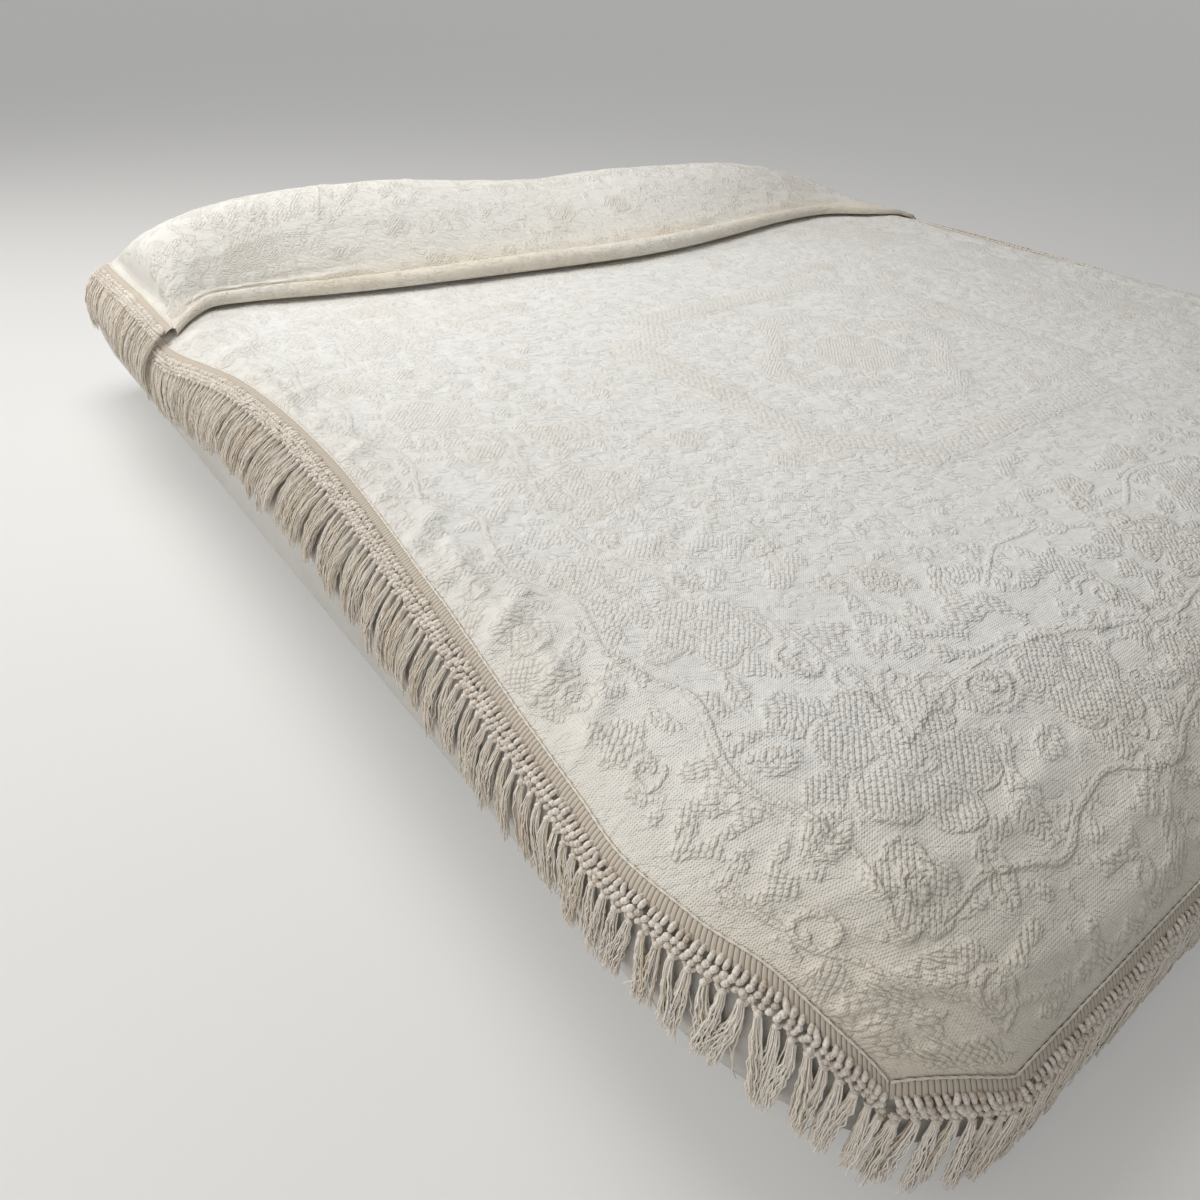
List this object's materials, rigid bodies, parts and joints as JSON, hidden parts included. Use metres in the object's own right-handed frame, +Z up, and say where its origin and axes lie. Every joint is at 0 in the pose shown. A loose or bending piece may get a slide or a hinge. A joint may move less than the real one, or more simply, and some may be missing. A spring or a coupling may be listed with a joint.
{
  "type": "matelasse bedspread on a mattress with pillows",
  "caption": "Cream woven matelasse bedspread with a knotted tassel fringe, laid over a soft-edged mattress and tucked in front of its pillows.",
  "frame": {"origin": "middle of the mattress's flat underside, on the surface that it rests on", "axes": "+Z up, +Y towards the pillows, +X across the bed"},
  "size_m": [1.93, 2.0421, 0.4177],
  "materials": {
    "matelasse_cloth": "cream cotton matelasse, raised woven relief on a fine ribbed ground, matt",
    "heading_tape": "ribbed cotton heading tape, ecru, matt",
    "fringe_yarn": "ecru cotton yarn, knotted and loose, matt",
    "ticking": "plain pale cotton cover, matt",
    "pillowcase": "plain white cotton, matt"
  },
  "bodies": {
    "root": {"mattress": "ticking", "pillow_left": "pillowcase", "pillow_right": "pillowcase", "bedspread": "matelasse_cloth", "heading_left": "heading_tape", "heading_right": "heading_tape", "heading_foot": "heading_tape", "heading_left_head": "heading_tape", "heading_right_head": "heading_tape", "fringe_left": "fringe_yarn", "fringe_right": "fringe_yarn", "fringe_foot": "fringe_yarn", "fringe_left_head": "fringe_yarn", "fringe_right_head": "fringe_yarn"}
  },
  "joints": []
}
